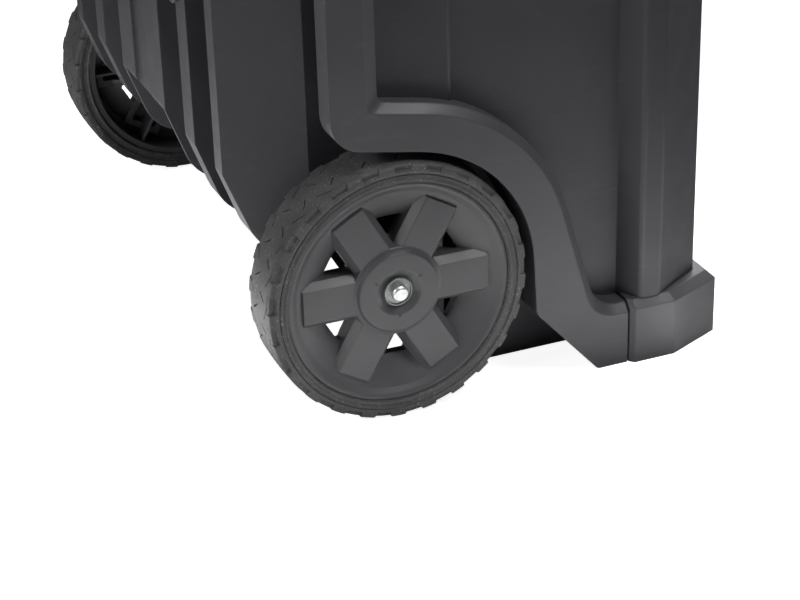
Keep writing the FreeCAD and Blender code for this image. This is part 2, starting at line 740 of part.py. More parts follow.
def hub_opening():
    """Cutter for the three-sided opening between two spokes, flush with their sides."""
    apex = (spoke_width / 2 + spoke_chamfer) / math.sin(math.pi / spoke_count)
    spread = (opening_reach - apex) * math.tan(math.pi / spoke_count)
    hole = [(axle_y + apex, axle_z, 2.0), (axle_y + opening_reach, axle_z + spread, 2.0),
            (axle_y + opening_reach, axle_z - spread, 2.0)]
    return slab(hole, "yz", wheel_face_x - hub_web_depth - hub_web_thickness - 1, wheel_face_x)


def tyre():
    """Solid rubber tyre: rounded tread, notched along both shoulders."""
    inner = wheel_radius - tyre_section
    back = wheel_width
    body = turned([(2.0, inner), (0, inner + 4, 3.0), (0, wheel_radius - 1, tyre_shoulder),
                   (tread_crown, wheel_radius), (back - tread_crown, wheel_radius),
                   (back, wheel_radius - 1, tyre_shoulder), (back, inner + 4, 3.0), (back - 2, inner)])
    notches = []
    top = axle_z + wheel_radius - tyre_shoulder / 3
    for depth, start in ((notch_reach, 0.0), (back + 1, 180.0 / shoulder_notches)):
        edge = wheel_face_x - depth
        notch = block((edge, edge + notch_reach + 1),
                      (axle_y - notch_length / 2, axle_y + notch_length / 2), (top - notch_depth, top))
        notches += round_wheel(notch, shoulder_notches, start)
    return body.cut(notches)


def axle():
    """Plain rod through both wheels, with rounded ends."""
    far = 2 * wheel_face_x
    return turned([(0, 0), (0, axle_radius, axle_end_round), (far, axle_radius, axle_end_round), (far, 0)])


def axle_spacer():
    """Bush on the axle between the wheel well and the hub."""
    stop = wheel_face_x - hub_barrel_length - seat_gap
    bore = axle_radius + seat_gap / 2
    return ring(axle_radius + wall, bore, (well_x, axle_y, axle_z), (stop, axle_y, axle_z))


def axle_cap():
    """Push-on cap that holds the wheel on the axle: a pressed cup that lies in the hub disc's recess."""
    seat = hub_disc_depth + disc_recess_depth - seat_gap
    inner = cap_radius - cap_rim
    return turned([(seat, axle_radius), (seat, cap_radius, 0.4), (seat - cap_height, cap_radius, 0.5),
                   (seat - cap_height, inner, 0.5), (seat - cap_plate, inner),
                   (seat - cap_plate, axle_radius)])


# --- Lid -----------------------------------------------------------------------------------------
def lid_shell():
    """Moulded lid: a shallow shell with a slanted edge, a ribbed recess, hinge knuckles and latch lugs."""
    side = rim_x
    bottom = rim_height + lid_gap
    top = overall_height
    plan = rim_plan(side, lid_front_y, lid_back_y)
    upper_plan = rim_plan(side - lid_crown, lid_front_y + lid_crown, lid_back_y - lid_crown)
    inner_plan = rim_plan(side - lid_wall, lid_front_y + lid_wall, lid_back_y - lid_wall)
    body = slab(plan, "xy", bottom, top - lid_crown)
    crown = tapered(plan, upper_plan, "xy", top - lid_crown, top)
    hollow = slab(inner_plan, "xy", bottom - 1, top - lid_crown)
    width = (-lid_recess_half_width, lid_recess_half_width)
    length = (lid_front_y + lid_recess_front, lid_back_y - lid_recess_back)
    panel = rectangle(width, length, lid_recess_corner)
    recess = slab(panel, "xy", top - lid_recess_depth, top + 1)
    ribs = []
    count = int(2 * lid_recess_half_width / lid_rib_pitch)
    for i in range(1, count):
        start = -lid_recess_half_width + i * lid_rib_pitch - lid_rib_width / 2
        ribs.append(block((start, start + lid_rib_width),
                          (length[0] + lid_recess_margin, length[1] - lid_recess_margin),
                          (top - lid_recess_depth - 1, top - 1.0)))
    knuckle = hinge_knuckle_shape()
    lugs = latch_lugs()
    shell = fuse([body, crown] + both(knuckle) + both(lugs[0]) + both(lugs[1]))
    cutters = [hollow, recess.cut(ribs)]
    cutters += both(hinge_pin_line(hinge_pin_diameter / 2 + running_gap))
    latch_pin_cut = latch_pin_line(latch_pin_diameter / 2)
    return shell.cut(cutters + both(latch_pin_cut))


def hinge_knuckle_shape():
    """The lid's part of a hinge: a barrel on the pin and the web that joins it to the lid's back."""
    start = hinge_x - hinge_knuckle / 2
    stop = hinge_x + hinge_knuckle / 2
    barrel = rod(hinge_radius - 0.5, (start, hinge_y, hinge_height), (stop, hinge_y, hinge_height))
    web = block((start, stop), (lid_back_y - 2, hinge_y), (hinge_height - 6, hinge_height + 6))
    return fuse([barrel, web])


def latch_lugs():
    """The two lugs in front of the lid that carry a latch's pin."""
    lugs = []
    radius = latch_knuckle
    for side in (-1, 1):
        start = latch_x + side * (latch_width / 2 + seat_gap)
        barrel = rod(radius, (start, latch_pivot_y, latch_pivot_height),
                     (start + side * latch_lug, latch_pivot_y, latch_pivot_height))
        x = sorted((start, start + side * latch_lug))
        z = (latch_pivot_height - radius, latch_pivot_height + radius - 3)
        web = block(x, (latch_pivot_y, lid_front_y + 1), z)
        lugs.append(fuse([barrel, web]))
    return lugs


def latch_pin_line(radius):
    reach = latch_width / 2 + seat_gap + latch_lug
    return rod(radius, (latch_x - reach, latch_pivot_y, latch_pivot_height),
               (latch_x + reach, latch_pivot_y, latch_pivot_height))


def lid_seal():
    """Rubber strip round the lid's underside, inside its wall and over the rim."""
    side = rim_x - lid_wall
    outer = rim_plan(side, lid_front_y + lid_wall, lid_back_y - lid_wall)
    inset = lid_wall + seal_width
    inner = rim_plan(side - seal_width, lid_front_y + inset, lid_back_y - inset)
    bottom = rim_height + seat_gap
    return slab(outer, "xy", bottom, bottom + 5.0).cut(slab(inner, "xy", bottom, bottom + 5.0))


def latch():
    """Over-centre latch: a lever on the lid with a finger lip and a hook that catches under the strike."""
    hook_top = rim_height - rim_flange - strike_thickness - 0.5
    inner = latch_pivot_y + 2.3
    outer = latch_pivot_y - latch_knuckle
    nose = latch_pivot_y + hook_reach
    lever = [(outer, latch_pivot_height, 5.0), (outer, latch_bottom + 6, 4.0),
             (outer + 3, latch_bottom, 2.0), (inner, latch_bottom, 2.0), (inner, hook_top - 8),
             (nose, hook_top - 4, 1.0), (nose, hook_top, 1.0), (inner, hook_top),
             (inner, latch_pivot_height)]
    half = latch_width / 2
    plate = slab(lever, "yz", latch_x - half, latch_x + half)
    barrel = rod(latch_knuckle, (latch_x - half, latch_pivot_y, latch_pivot_height),
                 (latch_x + half, latch_pivot_y, latch_pivot_height))
    bore = latch_pin_line(latch_pin_diameter / 2 + running_gap)
    margin = half - latch_field_margin
    field = rectangle((latch_x - margin, latch_x + margin),
                      (latch_bottom + latch_field_foot, latch_pivot_height - latch_field_head), 6.0)
    groove = slab(field, "xz", outer - 1, outer + latch_field_depth)
    return fuse([plate, barrel]).cut([bore, groove])


def strike():
    """Steel angle on the rim that a latch's hook catches."""
    low = rim_height - rim_flange - strike_thickness
    width = (latch_x - strike_width / 2, latch_x + strike_width / 2)
    outer = lid_front_y - strike_thickness
    shelf = block(width, (outer, front_y), (low, low + strike_thickness))
    face = block(width, (outer, lid_front_y), (low, rim_height - 2))
    return fuse([shelf, face])


def hasp(level, way):
    """Steel angle for a padlock: an ear with the hole and a leg above it (way 1) or below it (way -1)."""
    half = hasp_width / 2
    front = lid_front_y - hasp_reach
    corner = hasp_hole_setback - 1.0
    plan = [(-half, lid_front_y), (-half, front, corner), (half, front, corner), (half, lid_front_y)]
    heights = sorted((level, level + way * hasp_thickness))
    ear = slab(plan, "xy", heights[0], heights[1])
    leg_heights = sorted((level, level + way * hasp_leg))
    leg = slab(rectangle((-half, half), leg_heights), "xz", lid_front_y - hasp_thickness, lid_front_y)
    hole = rod(hasp_hole_radius, (0, hasp_hole_y, heights[0] - 1), (0, hasp_hole_y, heights[1] + 1))
    return fuse([ear, leg]).cut(hole)


# --- End carry handles -----------------------------------------------------------------------------
def bail():
    """Carry handle: a round bar bent into a U, with a barrel on each pivot pin."""
    radius = bail_diameter / 2
    low = bail_pivot_height - bail_drop
    straight = bail_half_span - bail_corner
    pieces = [rod(radius, (bail_x, bail_y - straight, low), (bail_x, bail_y + straight, low))]
    bores = []
    for side in (-1, 1):
        foot = (bail_x, bail_y + side * bail_half_span, low + bail_corner)
        pieces.append(rod(radius, foot, (bail_x, foot[1], bail_pivot_height)))
        circle = Part.makeCircle(radius, FreeCAD.Vector(*foot), FreeCAD.Vector(0, 0, 1))
        section = Part.Face(Part.Wire(circle))
        centre = FreeCAD.Vector(bail_x, bail_y + side * straight, low + bail_corner)
        pieces.append(section.revolve(centre, FreeCAD.Vector(-side, 0, 0), 90))
        pieces.append(along_pivot(side, bail_knuckle_radius, bail_knuckle_length / 2))
        bores.append(along_pivot(side, bail_pin_diameter / 2 + running_gap, bracket_half))
    return fuse(pieces).cut(bores)


def along_pivot(side, radius, half):
    """A cylinder on one of a carry handle's two pivots, by its radius and half length."""
    middle = bail_y + side * bail_half_span
    start = (bail_x, middle - half, bail_pivot_height)
    stop = (bail_x, middle + half, bail_pivot_height)
    return rod(radius, start, stop)


def bail_pin(side):
    return along_pivot(side, bail_pin_diameter / 2, bracket_half)


def bail_bracket(side):
    """Pivot bracket: a plate on the end panel with two ears for the pin."""
    middle = bail_y + side * bail_half_span
    half = bracket_half
    rise = (bail_pivot_height - bracket_plate_below, bail_pivot_height + bracket_plate_above)
    view = rectangle((middle - bracket_plate_half, middle + bracket_plate_half), rise, bracket_plate_corner)
    plate = slab(view, "yz", panel_x, panel_x + bracket_plate)
    relief = along_pivot(side, bail_knuckle_radius + seat_gap, half - bracket_ear)
    ear_radius = bail_knuckle_radius - 1
    ears = along_pivot(side, ear_radius, half)
    web = block((panel_x, bail_x), (middle - half, middle + half),
                (bail_pivot_height - ear_radius, bail_pivot_height + ear_radius))
    slot = block((panel_x + bracket_plate, wheel_face_x),
                 (middle - half + bracket_ear, middle + half - bracket_ear),
                 (bail_pivot_height - bail_drop, bail_pivot_height + bail_drop))
    return fuse([plate, ears, web]).cut([relief, slot, bail_pin(side)] + bail_screw_holes(side))


def bracket_screw_points(side):
    middle = bail_y + side * bail_half_span
    offset = bracket_half + screw_head_radius + bracket_screw_gap
    height = bail_pivot_height + bracket_screw_rise
    return [(panel_x + bracket_plate, middle + end * offset, height) for end in (-1, 1)]


def bail_screw_holes(side):
    return [screw_shank(point, (-1, 0, 0), bracket_plate) for point in bracket_screw_points(side)]


def screw_shank(seat, into, grip):
    """A screw's shank, through a plate of the grip's thickness: also the cutter for its hole."""
    start = FreeCAD.Vector(*seat)
    return Part.makeCylinder(screw_shank_radius, grip + screw_bite, start, FreeCAD.Vector(*into))


def screw_group(points, into, grip):
    """Pan-head screws seated at some points."""
    screws = []
    direction = FreeCAD.Vector(*into)
    for point in points:
        top = FreeCAD.Vector(*point) - direction * screw_head_height
        head = Part.makeCylinder(screw_head_radius, screw_head_height, top, direction)
        screws.append(head.fuse(screw_shank(point, into, grip)))
    return Part.makeCompound(screws)


# --- Telescopic pull handle -----------------------------------------------------------------------
def tube_outline(width, thickness, corner):
    x = (tube_x - width / 2, tube_x + width / 2)
    y = (tube_y - thickness / 2, tube_y + thickness / 2)
    return rectangle(x, y, corner)


def nested_size(level):
    """Width, thickness and corner of a handle tube: 0 is the fixed outer one."""
    shrink = 0.0
    walls = [outer_tube_wall, inner_tube_wall, inner_tube_wall]
    for i in range(level):
        shrink += 2 * (walls[i] + slide_gap)
    return outer_tube[0] - shrink, outer_tube[1] - shrink, tube_corner - shrink / 2 if shrink < 6 else 1.0


def handle_tube(level, top):
    width, thickness, corner = nested_size(level)
    thin = outer_tube_wall if level == 0 else inner_tube_wall
    bottom = tube_bottom + level * tube_step_up
    outside = slab(tube_outline(width, thickness, corner), "xy", bottom, top)
    bore = tube_outline(width - 2 * thin, thickness - 2 * thin, max(corner - thin, 0.5))
    return outside.cut(slab(bore, "xy", bottom - 1, top + 1))


def tube_bush():
    """Plastic bush on the end of a middle tube, which rests on the outer tube and guides the inner one."""
    width, thickness, corner = nested_size(2)
    outside = slab(tube_outline(outer_tube[0], outer_tube[1], tube_corner), "xy",
                   outer_tube_top + seat_gap, outer_tube_top + seat_gap + bush_height)
    hole = slab(tube_outline(width + 2 * slide_gap, thickness + 2 * slide_gap, corner + slide_gap), "xy",
                outer_tube_top, outer_tube_top + 2 * bush_height)
    return outside.cut(hole)


def handle_bracket(bottom, height, joined):
    """A moulding that holds the fixed tubes in the back grooves: saddles and a skin behind them."""
    gap = seat_gap
    block_x = (inner_groove[0] + gap, inner_groove[1] - gap)
    skin_x = (inner_groove[0] - bracket_overlap, inner_groove[1] + bracket_overlap)
    back = back_y + bracket_skin
    z = (bottom, bottom + height)
    saddles = both(block(block_x, (tube_y, back), z))
    if joined:
        shapes = [fuse([slab(rectangle((-skin_x[1], skin_x[1]), z, 6.0), "xz", back_y, back)] + saddles)]
        floor = bottom - 1
    else:
        skins = both(slab(rectangle(skin_x, z, 6.0), "xz", back_y, back))
        shapes = [fuse(list(pair)) for pair in zip(skins, saddles)]
        floor = bottom + bracket_skin
    hole = slab(tube_outline(outer_tube[0], outer_tube[1], tube_corner), "xy", floor, bottom + height + 1)
    holes = both(hole)
    for point in bracket_screws(bottom, height):
        holes.append(screw_shank(point, (0, -1, 0), bracket_skin))
    return Part.makeCompound([shape.cut(holes) for shape in shapes])


def bracket_screws(bottom, height):
    offset = screw_head_radius - seat_gap
    points = []
    for x in (inner_groove[0] - offset, inner_groove[1] + offset):
        for side in (-1, 1):
            points.append((side * x, back_y + bracket_skin, bottom + height / 2))
    return points


def handle_screw_points():
    return (bracket_screws(collar_bottom, collar_height)
            + bracket_screws(tube_bottom - bracket_skin, shoe_height))


def grip_profile(inset, low, high):
    """Section of the pull grip, in side view."""
    near = tube_y - outer_tube[1] / 2 + inset
    far = overall_depth / 2 - inset
    return [(near, low, 5.0), (far, low, 5.0), (far, high, 7.0), (near, high, 5.0)]


def pull_grip():
    """Moulded grip across both inner tubes, hollow where the release button sits."""
    reach = tube_x + grip_end
    top = grip_bottom + grip_height
    bar = slab(grip_profile(0.0, grip_bottom, top), "yz", -reach, reach)
    end = tapered(grip_profile(0.0, grip_bottom, top), grip_profile(3.0, grip_bottom + 3, top - 3),
                  "yz", reach, reach + 3.0)
    width, thickness, corner = nested_size(2)
    sockets = both(slab(tube_outline(width, thickness, corner), "xy", grip_bottom - 1, top - bracket_skin))
    button = button_outline(slide_gap)
    pocket = slab(button, "xy", top - button_depth, top + 1)
    return fuse([bar] + both(end)).cut(sockets + [pocket])


def button_outline(gap):
    middle = (tube_y - outer_tube[1] / 2 + overall_depth / 2) / 2
    return rectangle((-button_length / 2 - gap, button_length / 2 + gap),
                     (middle - button_width / 2 - gap, middle + button_width / 2 + gap), 5.0)


def release_button():
    top = grip_bottom + grip_height
    return slab(button_outline(0.0), "xy", top - button_depth + button_stand + 1.5, top + button_stand)


# --- Write every piece ----------------------------------------------------------------------------
os.makedirs("parts", exist_ok=True)

export("tub", tub())
export_pair("tub_end", tub_end())
export_pair("end_frame", end_frame())
export_pair("foot_cap", foot_cap())

export("axle", axle())
export_pair("axle_spacer", axle_spacer())
export_pair("axle_cap", axle_cap())
export_pair("wheel_hub", hub())
export_pair("tyre", tyre())

export("lid_shell", lid_shell())
export("lid_seal", lid_seal())
export_pair("hinge_pin", hinge_pin_line(hinge_pin_diameter / 2))
export("lid_hasp", hasp(rim_height + lid_gap, 1))
export("tub_hasp", hasp(rim_height, -1))
export_pair("latch_pin", latch_pin_line(latch_pin_diameter / 2))
export_pair("latch", latch())
export_pair("strike", strike())

export_pair("carry_handle", bail())
export_pair("carry_brackets", Part.makeCompound([bail_bracket(side) for side in (-1, 1)]))
export_pair("carry_pins", Part.makeCompound([bail_pin(side) for side in (-1, 1)]))
carry_points = bracket_screw_points(-1) + bracket_screw_points(1)
export_pair("carry_screws", screw_group(carry_points, (-1, 0, 0), bracket_plate))

for level, level_name in enumerate(("outer_tube", "middle_tube", "inner_tube")):
    tube_top = (outer_tube_top, outer_tube_top + seat_gap, grip_bottom + grip_height - bracket_skin)[level]
    export_pair(level_name, handle_tube(level, tube_top))
export_pair("tube_bush", tube_bush())
export("handle_collar", handle_bracket(collar_bottom, collar_height, True))
export("handle_shoes", handle_bracket(tube_bottom - bracket_skin, shoe_height, False))
export("handle_screws", screw_group(handle_screw_points(), (0, -1, 0), bracket_skin))
export("pull_grip", pull_grip())
export("release_button", release_button())
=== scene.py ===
import math
import bpy
from mathutils import Matrix, Vector


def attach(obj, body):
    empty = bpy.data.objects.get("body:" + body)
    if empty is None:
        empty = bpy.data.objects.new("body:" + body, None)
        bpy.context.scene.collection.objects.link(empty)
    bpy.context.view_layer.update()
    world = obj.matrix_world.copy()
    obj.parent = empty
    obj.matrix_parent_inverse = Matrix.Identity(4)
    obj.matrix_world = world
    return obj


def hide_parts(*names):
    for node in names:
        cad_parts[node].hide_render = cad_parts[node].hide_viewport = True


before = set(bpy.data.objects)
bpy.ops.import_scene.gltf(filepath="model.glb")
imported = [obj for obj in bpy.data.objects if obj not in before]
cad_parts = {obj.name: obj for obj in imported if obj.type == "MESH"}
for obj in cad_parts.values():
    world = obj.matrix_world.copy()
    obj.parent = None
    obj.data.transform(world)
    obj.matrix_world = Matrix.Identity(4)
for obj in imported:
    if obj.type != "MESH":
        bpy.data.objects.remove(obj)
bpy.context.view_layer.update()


# --- Tub ------------------------------------------------------------------------------------------
# The tub is one large moulding in charcoal polyethylene, with a fine pebbled grain from its mould.
# Handling leaves faint paler scuffs. Its edges are slightly rounded, as in any such moulding.
def new_material(name):
    """Starts a material; returns it with its nodes, links, main shader and the piece's coordinates."""
    material = bpy.data.materials.new(name)
    material.use_nodes = True
    nodes, links = material.node_tree.nodes, material.node_tree.links
    place = nodes.new("ShaderNodeTexCoord").outputs["Object"]
    return material, nodes, links, nodes["Principled BSDF"], place


def texture(nodes, links, place, kind, scale, detail=2.0, roughness=0.5):
    """The values of a Noise or Voronoi texture."""
    node = nodes.new("ShaderNodeTex" + kind)
    node.inputs["Scale"].default_value = scale
    links.new(place, node.inputs["Vector"])
    if kind == "Voronoi":
        return node.outputs["Distance"]
    node.inputs["Detail"].default_value = detail
    node.inputs["Roughness"].default_value = roughness
    return node.outputs["Fac"]


def ramp(nodes, links, source, limits, results):
    """Spreads the values between two limits over the range between two results."""
    node = nodes.new("ShaderNodeMapRange")
    for socket, value in zip(("From Min", "From Max", "To Min", "To Max"), (*limits, *results)):
        node.inputs[socket].default_value = value
    links.new(source, node.inputs["Value"])
    return node.outputs["Result"]


def combine(nodes, links, operation, first, second):
    """Adds, multiplies or compares two values."""
    node = nodes.new("ShaderNodeMath")
    node.operation = operation
    links.new(first, node.inputs[0])
    links.new(second, node.inputs[1])
    return node.outputs["Value"]


def blend(nodes, links, share, base, second):
    """Mixes a second colour, given as numbers, into a base of numbers or of another node."""
    node = nodes.new("ShaderNodeMix")
    node.data_type = "RGBA"
    links.new(share, node.inputs["Factor"])
    if isinstance(base, bpy.types.NodeSocket):
        links.new(base, node.inputs["A"])
    else:
        node.inputs["A"].default_value = (*base, 1.0)
    node.inputs["B"].default_value = (*second, 1.0)
    return node.outputs["Result"]


def add_bump(nodes, links, shader, height, strength, distance):
    """Puts a bump on the shader, at most this distance in metres high, and returns its node."""
    bump = nodes.new("ShaderNodeBump")
    bump.inputs["Strength"].default_value = strength
    bump.inputs["Distance"].default_value = distance
    links.new(height, bump.inputs["Height"])
    links.new(bump.outputs["Normal"], shader.inputs["Normal"])
    return bump


def grained_plastic(name, colour, roughness, grain_size=0.0011, grain_height=0.00010, scuff=0.25,
                    edge_radius=0.0012):
    """Moulded plastic: pebbled grain, slow colour drift and pale scuffs along the walls."""
    material, nodes, links, shader, place = new_material(name)
    shader.inputs["IOR"].default_value = 1.49

    drift = texture(nodes, links, place, "Noise", scale=5.0, detail=4.0)
    tint = nodes.new("ShaderNodeVectorMath")
    tint.operation = "SCALE"
    tint.inputs[0].default_value = colour
    links.new(ramp(nodes, links, drift, (0.3, 0.7), (0.90, 1.12)), tint.inputs["Scale"])

    stretch = nodes.new("ShaderNodeMapping")
    stretch.inputs["Scale"].default_value = (1.0, 1.0, 7.0)
    stretch.inputs["Rotation"].default_value = (0.4, 0.3, 0.2)
    links.new(place, stretch.inputs["Vector"])
    rub = texture(nodes, links, stretch.outputs["Vector"], "Noise", scale=24.0, detail=8.0, roughness=0.7)
    wear = ramp(nodes, links, rub, (0.58, 0.80), (0.0, scuff))
    scuffed_colour = [0.5 * channel + 0.09 for channel in colour]
    scuffed = blend(nodes, links, wear, tint.outputs["Vector"], scuffed_colour)
    links.new(scuffed, shader.inputs["Base Color"])

    patch = texture(nodes, links, place, "Noise", scale=40.0, detail=3.0)
    gloss = ramp(nodes, links, patch, (0.3, 0.7), (roughness - 0.05, roughness + 0.07))
    links.new(gloss, shader.inputs["Roughness"])

    pebble = texture(nodes, links, place, "Voronoi", scale=1.0 / grain_size)
    fine = texture(nodes, links, place, "Noise", scale=2.5 / grain_size)
    grain = combine(nodes, links, "ADD", pebble, fine)
    bump = add_bump(nodes, links, shader, grain, strength=0.6, distance=grain_height)
    rounding = nodes.new("ShaderNodeBevel")
    rounding.samples = 6
    rounding.inputs["Radius"].default_value = edge_radius
    links.new(rounding.outputs["Normal"], bump.inputs["Normal"])
    return material


def finish_node(node, material, edge=0.0, segments=2):
    """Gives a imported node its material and, with an edge radius, softly rounded edges."""
    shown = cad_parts[node]
    shown.data.materials.clear()
    shown.data.materials.append(material)
    if edge > 0:
        weld = shown.modifiers.new("join_faces", "WELD")
        weld.merge_threshold = 0.00001
        bevel = shown.modifiers.new("rounded_edges", "BEVEL")
        bevel.width = edge
        bevel.segments = segments
        bevel.limit_method = "ANGLE"
        bevel.angle_limit = math.radians(30)
        bevel.harden_normals = True


moulded_edge = 0.0012
tub_plastic = grained_plastic("charcoal_tub", (0.035, 0.034, 0.040), 0.50)
for node in ("tub", "tub_end_left", "tub_end_right"):
    finish_node(node, tub_plastic, moulded_edge)


# --- End frames and foot caps ---------------------------------------------------------------------
# Heavier mouldings of the same family of plastic, a shade greyer and with a finer grain. The frames
# run round the end panels and over the wheels, and the caps take the knocks at the front corners.
trim_edge = 0.0018
trim_plastic = grained_plastic("grey_trim", (0.058, 0.057, 0.063), 0.46, grain_size=0.0009,
                               grain_height=0.00007, scuff=0.30, edge_radius=0.0016)
for side in ("left", "right"):
    finish_node("end_frame_" + side, trim_plastic, trim_edge, segments=3)
    finish_node("foot_cap_" + side, trim_plastic, trim_edge, segments=3)


# --- Wheel hubs -----------------------------------------------------------------------------------
# Moulded nylon hubs, smoother than the tub, with six hollow spokes over a dished web. They turn on
# the plain axle.
hub_plastic = grained_plastic("hub_nylon", (0.062, 0.062, 0.066), 0.40, grain_size=0.0016,
                              grain_height=0.00004, scuff=0.15)
for side in ("left", "right"):
    finish_node("wheel_hub_" + side, hub_plastic, 0.0006)


# --- Tyres ----------------------------------------------------------------------------------------
# Solid rubber tyres pressed on the hubs. A row of moulded notches opens into each edge of the tread.
# Long sipes run beside the edges and short ones nearer the middle, and a bead ring and a fine groove
# run round the sidewalls.
axle_y, axle_z = 0.086, 0.1016
wheel_face = 0.284
tyre_width = 0.048
tyre_radius = 0.1016
tyre_bore = 0.0869

# The section, from the bore to the tread. The fine groove's corners are given as their depth below
# the wheel's face and their rise from the groove's line.
bore_edge_depth = 0.0026
bore_edge_rise = 0.0003
sidewall_depth = 0.0010
bead_rise = 0.0018
bead_half_width = 0.0013
bead_steps = 8
groove_rise = 0.0064
groove_corners = [(0.0010, -0.0008), (0.0006, -0.0004), (0.0013, 0.0), (0.0013, 0.0003),
                  (0.0004, 0.0008), (0.0002, 0.0014)]
shoulder_height = 0.0051
shoulder_width = 0.00558
corner_crispness = 0.62
shoulder_steps = 16
crown_height = 0.0004
tread_steps = 14
crease_angle = math.radians(38)

# One pitch of the tread, in shares of the pitch. Each cut has two close stations at either side.
pitch_count = 25
notch_edges = (0.13, 0.145, 0.715, 0.73)
long_sipe_edges = (0.28, 0.292, 0.328, 0.340)
short_sipe_edges = (0.79, 0.802, 0.838, 0.850)
plain_stations = (0.0, 0.06, 0.45, 0.60, 0.92)

# The sizes of the cuts, and how far in from the wheel's face they reach.
notch_sink = 0.0004
notch_push = 0.0026
notch_height = 0.0052
notch_reach = 0.0080
notch_taper = 0.07
notch_taper_start = 0.0006
sipe_depth = 0.0024
long_sipe_span = (0.0062, 0.0125)
short_sipe_span = (0.0145, 0.0205)

# The cuts lean round the tread, then partly back: where each lean starts, its width and its shift.
lean_out = (0.0072, 0.0055, 0.011)
lean_back = (0.0135, 0.0100, 0.007)


def half_section():
    """Half of the tyre's section, from its bore to the middle of the tread: (across, radius) points."""
    points = [(bore_edge_depth, tyre_bore), (sidewall_depth, tyre_bore + bore_edge_rise)]
    for i in range(bead_steps + 1):
        angle = math.pi * i / bead_steps
        across = sidewall_depth * (1 - math.sin(angle))
        points.append((across, tyre_bore + bead_rise - bead_half_width * math.cos(angle)))
    points += [(across, tyre_bore + groove_rise + rise) for across, rise in groove_corners]
    shoulder_foot = tyre_radius - crown_height - shoulder_height
    for i in range(shoulder_steps + 1):
        angle = math.pi / 2 * i / shoulder_steps
        across = shoulder_width * (1 - max(0.0, math.cos(angle)) ** corner_crispness)
        points.append((across, shoulder_foot + shoulder_height * math.sin(angle) ** corner_crispness))
    for i in range(1, tread_steps + 1):
        part = i / tread_steps
        across = shoulder_width + (tyre_width / 2 - shoulder_width) * part
        points.append((across, tyre_radius - crown_height * (1 - math.sin(part * math.pi / 2))))
    return points


def cut(share, across, radius):
    """How far a point is sunk towards the axle, and pushed into the tyre, by the notches and sipes."""
    in_notch = notch_edges[0] < share < notch_edges[3]
    if in_notch and radius > tyre_radius - notch_height and across < notch_reach:
        return notch_sink, notch_push * (1 - across / notch_reach)
    for edges, span in ((long_sipe_edges, long_sipe_span), (short_sipe_edges, short_sipe_span)):
        if edges[0] < share < edges[3] and span[0] < across < span[1]:
            return sipe_depth, 0.0
    return 0.0, 0.0


def limited(value):
    """The value, held between nought and one."""
    return min(1.0, max(0.0, value))


def lean_round(across):
    """How far the cuts have moved round the tread at this place across."""
    out, back = [limited((across - start) / width) * shift for start, width, shift in (lean_out, lean_back)]
    return out - back


def draw_in(share, radius):
    """How far the sides of a notch close up below the tread, as a share of the pitch."""
    if share not in notch_edges:
        return 0.0
    taper = notch_taper * limited((tyre_radius - notch_taper_start - radius) / notch_height)
    return taper if share in notch_edges[:2] else -taper


def tyre_mesh(name, outward):
    """Both halves of the section swept round the axle; the inner half is half a pitch further on."""
    section = half_section()
    stations = sorted(plain_stations + notch_edges + long_sipe_edges + short_sipe_edges)
    columns = pitch_count * len(stations)
    vertices = []
    for half, ordered in ((0, section), (1, section[-2::-1])):
        for across, radius in ordered:
            lean = outward * lean_round(across) / tyre_radius
            for pitch in range(pitch_count):
                for share in stations:
                    pitches = pitch + share + draw_in(share, radius) + 0.5 * half
                    turn = pitches / pitch_count * 2 * math.pi + lean
                    sink, push = cut(share, across, radius)
                    depth = across + push if half == 0 else tyre_width - across - push
                    sunk = radius - sink
                    vertices.append((outward * (wheel_face - depth), axle_y + sunk * math.cos(turn),
                                     axle_z + sunk * math.sin(turn)))
    row_count = len(vertices) // columns
    faces = []
    for i in range(row_count):
        row, following = i * columns, (i + 1) % row_count * columns
        for j in range(columns):
            k = (j + 1) % columns
            quad = (row + j, row + k, following + k, following + j)
            faces.append(quad if outward < 0 else quad[::-1])
    mesh = bpy.data.meshes.new(name)
    mesh.from_pydata(vertices, [], faces)
    mesh.update()
    for face in mesh.polygons:
        face.use_smooth = True
    mesh.set_sharp_from_angle(angle=crease_angle)
    return mesh


def tyre_rubber(name):
    """Black rubber, greyed by a thin bloom, with patches of grey dust and pale specks of grit."""
    material, nodes, links, shader, place = new_material(name)
    shader.inputs["Specular IOR Level"].default_value = 0.35
    black, dusty, pale = (0.058, 0.058, 0.060), (0.115, 0.113, 0.114), (0.30, 0.30, 0.29)
    dust = texture(nodes, links, place, "Noise", scale=45.0, detail=6.0, roughness=0.6)
    grit = texture(nodes, links, place, "Noise", scale=620.0, detail=2.0, roughness=0.6)
    dusted = blend(nodes, links, ramp(nodes, links, dust, (0.35, 0.75), (0.0, 0.55)), black, dusty)
    specks = combine(nodes, links, "MULTIPLY", ramp(nodes, links, grit, (0.60, 0.68), (0.0, 0.8)),
                     ramp(nodes, links, dust, (0.40, 0.62), (0.0, 1.0)))
    links.new(blend(nodes, links, specks, dusted, pale), shader.inputs["Base Color"])
    links.new(ramp(nodes, links, dust, (0.3, 0.7), (0.52, 0.72)), shader.inputs["Roughness"])
    skin = texture(nodes, links, place, "Noise", scale=1500.0, detail=3.0)
    add_bump(nodes, links, shader, skin, strength=0.4, distance=0.00006)
    return material


rubber = tyre_rubber("tyre_rubber")
for side, outward in (("left", -1), ("right", 1)):
    finish_node("tyre_" + side, rubber)
    tyre = bpy.data.objects.new("treaded_tyre_" + side, tyre_mesh("treaded_tyre_" + side, outward))
    bpy.context.scene.collection.objects.link(tyre)
    tyre.data.materials.append(rubber)
    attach(tyre, "wheel_" + side)
    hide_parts("tyre_" + side)


